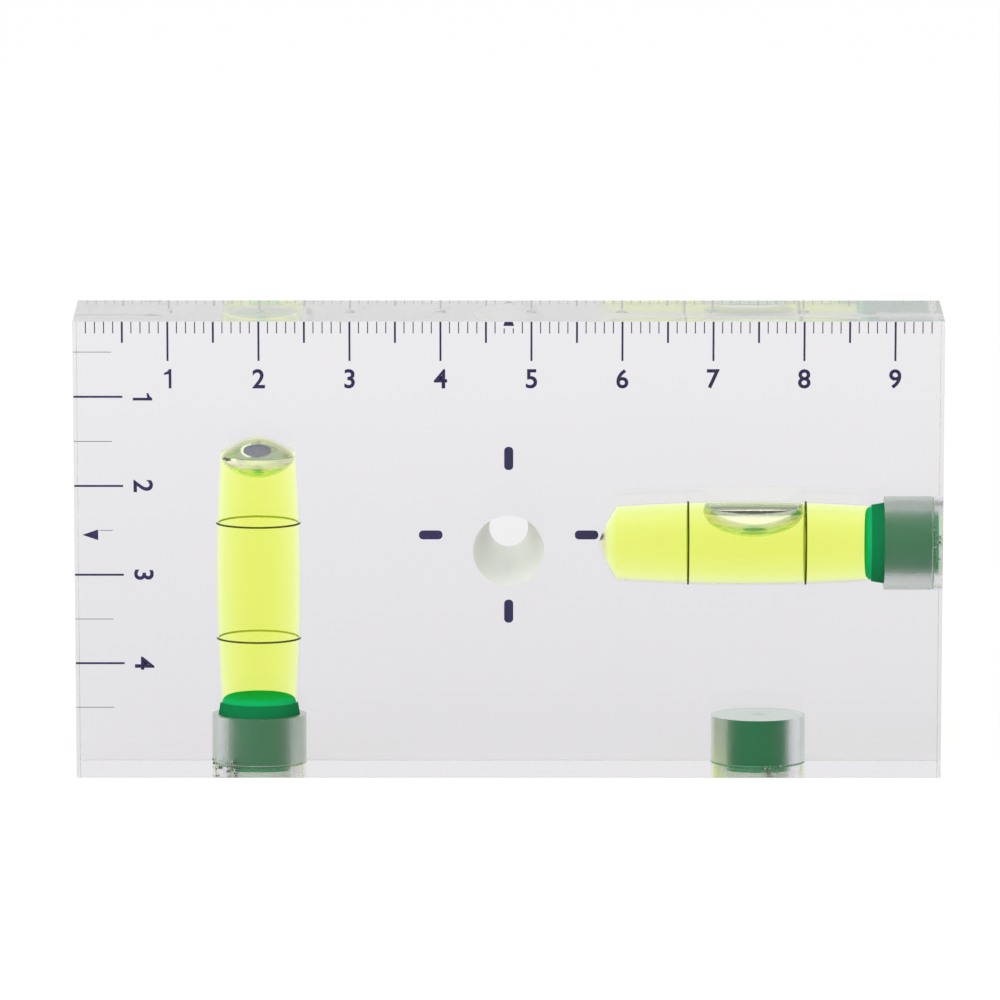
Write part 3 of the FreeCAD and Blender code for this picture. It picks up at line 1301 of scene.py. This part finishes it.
def digit(character, place):
    """One printed digit, thickened to the stroke of the print, in its place on the back face."""
    if character == "1":
        mesh = bpy.data.meshes.new("digit one")
        mesh.from_pydata([(x, y, 0) for x, y in digit_one], [], [range(len(digit_one))])
    else:
        curve = bpy.data.curves.new("digit " + character, "FONT")
        curve.body = character
        curve.size = 1.0
        curve.offset = digit_weight / 2
        curve.resolution_u = 6
        letter = placed("digit", curve)
        mesh = bpy.data.meshes.new_from_object(
            letter.evaluated_get(bpy.context.evaluated_depsgraph_get())
        )
        bpy.data.objects.remove(letter)
    ys = [corner.co.y for corner in mesh.vertices]
    xs = [corner.co.x for corner in mesh.vertices]
    middle = Vector(((min(xs) + max(xs)) / 2, (min(ys) + max(ys)) / 2, 0))
    scale = digit_height / (max(ys) - min(ys))
    mesh.transform(place @ Matrix.Scale(scale, 4) @ Matrix.Translation(-middle))
    return mesh


def digit_row():
    """Every digit of both rulers, as flat faces, then given the ink's thickness."""
    face_back = Matrix.Rotation(math.radians(90), 4, "X")
    on_its_side = Matrix.Rotation(math.radians(90), 4, "Y")
    low_row = top_face - length_digit_top - digit_height / 2
    side_column = left_edge + height_digit_left + digit_height / 2
    places = []
    for number in range(1, 10):
        spot = Matrix.Translation((left_edge + number * centimetre, ink_start, low_row))
        places.append((number, spot @ face_back))
    for number in range(1, 5):
        spot = Matrix.Translation((side_column, ink_start, top_face - number * centimetre))
        places.append((number, spot @ on_its_side @ face_back))
    whole = bmesh.new()
    for number, place in places:
        mesh = digit(str(number), place)
        whole.from_mesh(mesh)
        bpy.data.meshes.remove(mesh)
    bmesh.ops.remove_doubles(whole, verts=whole.verts, dist=weld_distance)
    return inked("ruler_digits", whole)


printed(digit_row())

# The studio
# A pale floor and plain soft light: a broad lamp above and in front, and the sky's own level. The
# sky shows white to the lens, and a backdrop, a ceiling and a darker room in reflections and
# through the block. The floor shows white to the lens but for a painted soft shadow behind the
# block;
# through the block it is painted darker near the block, and in reflections nearly black.

floor_reach = 3.0
floor_drop = 0.02 * mm
floor_corners = [
    (x * floor_reach, y * floor_reach, -floor_drop)
    for x, y in ((-1, -1), (1, -1), (1, 1), (-1, 1))
]
floor_mesh = bpy.data.meshes.new("floor")
floor_mesh.from_pydata(floor_corners, [], [(0, 1, 2, 3)])
floor = placed("floor", floor_mesh)

floor_finish, floor_tree = new_material("pale floor")
floor_path = add_node(floor_tree, "ShaderNodeLightPath")
through = floor_path.out("Is Transmission Ray")
mirrored = floor_path.out("Is Glossy Ray") * (1 - through)
seen = floor_path.most(mirrored.most(through))


def distance(vector):
    """How far a place is from the middle."""
    return add_node(
        vector.tree, "ShaderNodeVectorMath", {0: vector}, {"operation": "LENGTH"}, "Value"
    )


floor_spot = object_place(floor_tree)
# Painted shadow: a soft dark oval on the floor behind the block, as the lens sees it.
behind = add_node(
    floor_tree,
    "ShaderNodeMapping",
    {"Vector": floor_spot, "Location": (0.0, -1.5, 0.0), "Scale": (22, 12, 1)},
)
painted_soft_shadow = fades(distance(behind), 0.0, 1.0, 0.19, 0.0)
# Painted shade: the floor seen through the block is darker near the block, and nearly black in
# reflections.
painted_floor_shade = fades(distance(floor_spot), 0.0, 0.34, 0.805, 0.935) * (1 - mirrored * 0.94)
floor_shine_with_painted_shade = floor_path * (1.02 - painted_soft_shadow) + (1 - floor_path) * painted_floor_shade
floor_diffuse = add_node(floor_tree, "ShaderNodeBsdfDiffuse", {"Color": (0.9, 0.9, 0.9, 1)})
floor_white = add_node(
    floor_tree, "ShaderNodeEmission", {"Color": (1, 1, 1, 1), "Strength": floor_shine_with_painted_shade}
)
floor_mixed = add_node(
    floor_tree, "ShaderNodeMixShader", {0: seen * 0.85, 1: floor_diffuse, 2: floor_white}
)
add_node(floor_tree, "ShaderNodeOutputMaterial", {"Surface": floor_mixed})
floor_mesh.materials.append(floor_finish)

world = bpy.data.worlds.new("studio")
bpy.context.scene.world = world
world.use_nodes = True
sky = world.node_tree
sky.nodes.clear()
sky_path = add_node(sky, "ShaderNodeLightPath")
sky_seen = sky_path.most(sky_path.out("Is Glossy Ray").most(sky_path.out("Is Transmission Ray")))
sky_light = 0.85
direction = add_node(sky, "ShaderNodeTexCoord").out("Generated").parts()
height = direction.out("Z")
rising = fades(height, 0.0, 0.7, 0.93, 0.80)
backdrop = fades(direction.out("Y"), -0.1, 0.35) * rising
ceiling = fades(height, 0.7, 0.9)
room = fades(height, 0.08, 0.14, 0.06, 0.85) * fades(height, 0.48, 0.56, 1.0, 0.08)
studio = backdrop.most(ceiling).most(room)
level = sky_path * (1 - studio) + studio
sky_shine = add_node(
    sky,
    "ShaderNodeBackground",
    {"Color": (1, 1, 1, 1), "Strength": sky_seen * (level - sky_light) + sky_light},
)
add_node(sky, "ShaderNodeOutputWorld", {"Surface": sky_shine})

lamp_data = bpy.data.lights.new("broad lamp", "AREA")
lamp_data.shape = "RECTANGLE"
lamp_data.size = 0.5
lamp_data.size_y = 0.35
lamp_data.energy = 3.0
lamp = placed("broad lamp", lamp_data)
lamp.visible_glossy = False
lamp.visible_transmission = False
lamp.location = (-0.2, -0.35, 0.55)
aim = Vector((0, 0, 0.02)) - lamp.location
lamp.rotation_euler = aim.to_track_quat("-Z", "Y").to_euler()

camera_data = bpy.data.cameras.new("camera")
camera_data.lens = 315.5
camera_data.sensor_width = 36.0
camera_data.clip_start = 0.05
camera_data.clip_end = 20.0
camera = placed("camera", camera_data)
camera.location = (0.2 * mm, -945.1 * mm, 220.6 * mm)
camera.rotation_euler = (math.radians(78.59), 0.0, math.radians(0.07))
bpy.context.scene.camera = camera

scene = bpy.context.scene
scene.view_settings.view_transform = "Standard"
scene.cycles.max_bounces = 40
scene.cycles.transmission_bounces = 40
scene.cycles.glossy_bounces = 24
scene.cycles.diffuse_bounces = 4
scene.cycles.transparent_max_bounces = 32
